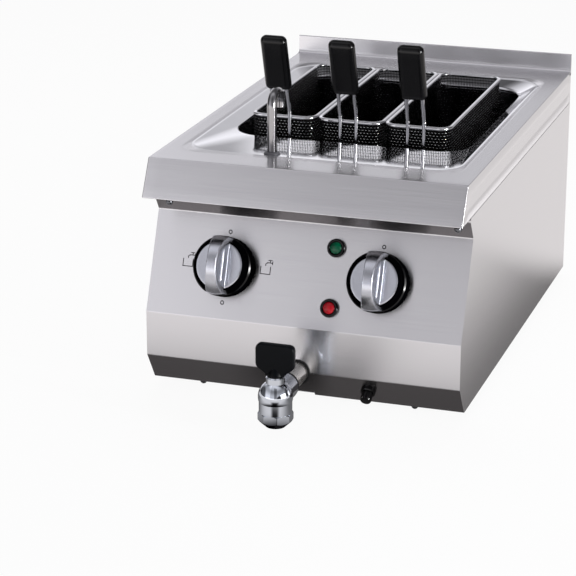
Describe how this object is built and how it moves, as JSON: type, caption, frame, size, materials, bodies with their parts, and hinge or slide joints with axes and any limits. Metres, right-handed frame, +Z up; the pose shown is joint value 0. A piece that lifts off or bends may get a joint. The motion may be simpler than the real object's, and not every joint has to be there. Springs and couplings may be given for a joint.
{
  "type": "countertop electric pasta cooker",
  "caption": "Countertop pasta cooker in brushed steel with a sloped control panel, arched-grip knobs, lift-out mesh baskets and a front drain tap.",
  "frame": {"origin": "under the middle of the bounding box, on the table", "axes": "+X to the right seen from the front, +Y from the front to the back, +Z up"},
  "size_m": [0.4, 0.741, 0.4273],
  "materials": {
    "brushed_steel": "brushed",
    "polished_steel": "polished",
    "pipe_steel": "satin",
    "satin_metal": "satin",
    "black_gloss": "gloss",
    "black_matte": "matte",
    "black_rubber": "matte",
    "dark_plastic": "matte",
    "cream_plastic": "matte",
    "white_ptfe": "matte",
    "green_lens": "gloss",
    "red_lens": "gloss",
    "valve_chrome": "polished",
    "valve_brass": "machined",
    "copper_tube": "drawn",
    "element_sheath": "satin",
    "mesh_wire": "woven wire"
  },
  "bodies": {
    "cabinet": {"worktop": "brushed_steel", "front_panel": "brushed_steel", "left_side_panel": "brushed_steel", "right_side_panel": "brushed_steel", "back_panel": "brushed_steel", "base_plate": "brushed_steel", "notch_plate": "brushed_steel", "tank": "polished_steel", "false_bottom": "polished_steel", "spout": "polished_steel", "drain_elbow": "pipe_steel", "drain_pipe": "pipe_steel", "panel_screws": "pipe_steel", "green_lamp_bezel": "black_gloss", "red_lamp_bezel": "black_gloss", "cable_gland": "black_matte", "reset_collar": "black_matte", "feet": "black_rubber", "drain_grommet": "black_rubber", "inlet_washer": "black_rubber", "spout_gasket": "black_rubber", "heat_switch": "dark_plastic", "lamp_holders": "dark_plastic", "safety_thermostat": "dark_plastic", "contactor": "dark_plastic", "terminal_block": "cream_plastic", "valve_seats": "white_ptfe", "green_lamp_lens": "green_lens", "red_lamp_lens": "red_lens", "valve_body": "valve_chrome", "gland_nut": "valve_chrome", "outlet_nut": "valve_chrome", "fill_valve": "valve_brass", "element_flange": "valve_brass", "water_inlet": "valve_brass", "spout_feed": "copper_tube", "supply_pipe": "copper_tube", "safety_bulb": "copper_tube", "heating_element": "element_sheath"},
    "fill_knob": {"fill_knob_skirt": "black_gloss", "fill_knob_cap": "satin_metal", "fill_spindle": "pipe_steel"},
    "heat_knob": {"heat_knob_skirt": "black_gloss", "heat_knob_cap": "satin_metal", "heat_spindle": "pipe_steel"},
    "drain_lever": {"drain_handle": "black_gloss", "valve_stem": "pipe_steel", "valve_ball": "valve_chrome"},
    "reset_push": {"reset_button": "black_matte"},
    "basket_left": {"left_basket": "mesh_wire", "left_basket_frame": "polished_steel", "left_basket_grip": "black_gloss"},
    "basket_middle": {"middle_basket": "mesh_wire", "middle_basket_frame": "polished_steel", "middle_basket_grip": "black_gloss"},
    "basket_right": {"right_basket": "mesh_wire", "right_basket_frame": "polished_steel", "right_basket_grip": "black_gloss"}
  },
  "joints": [
    {"name": "fill_knob_turn", "type": "hinge", "parent": "cabinet", "child": "fill_knob", "pos_m": [-0.103, -0.241, 0.1665], "axis": [0, -0.9247, 0.3808], "continuous": true},
    {"name": "heat_knob_turn", "type": "hinge", "parent": "cabinet", "child": "heat_knob", "pos_m": [0.0925, -0.241, 0.1665], "axis": [0, -0.9247, 0.3808], "range_deg": [-270, 0]},
    {"name": "drain_lever_turn", "type": "hinge", "parent": "cabinet", "child": "drain_lever", "pos_m": [-0.0035, -0.3495, 0.05], "axis": [0, 0, 1], "range_deg": [0, 90]},
    {"name": "reset_push_slide", "type": "slide", "parent": "cabinet", "child": "reset_push", "axis": [0, 0.8354, 0.5496], "range_m": [0, 0.003], "stiffness_N_per_m": 400},
    {"name": "basket_left_lift", "type": "slide", "parent": "cabinet", "child": "basket_left", "axis": [0, 0, 1], "range_m": [0, 0.26]},
    {"name": "basket_middle_lift", "type": "slide", "parent": "cabinet", "child": "basket_middle", "axis": [0, 0, 1], "range_m": [0, 0.26]},
    {"name": "basket_right_lift", "type": "slide", "parent": "cabinet", "child": "basket_right", "axis": [0, 0, 1], "range_m": [0, 0.26]}
  ]
}
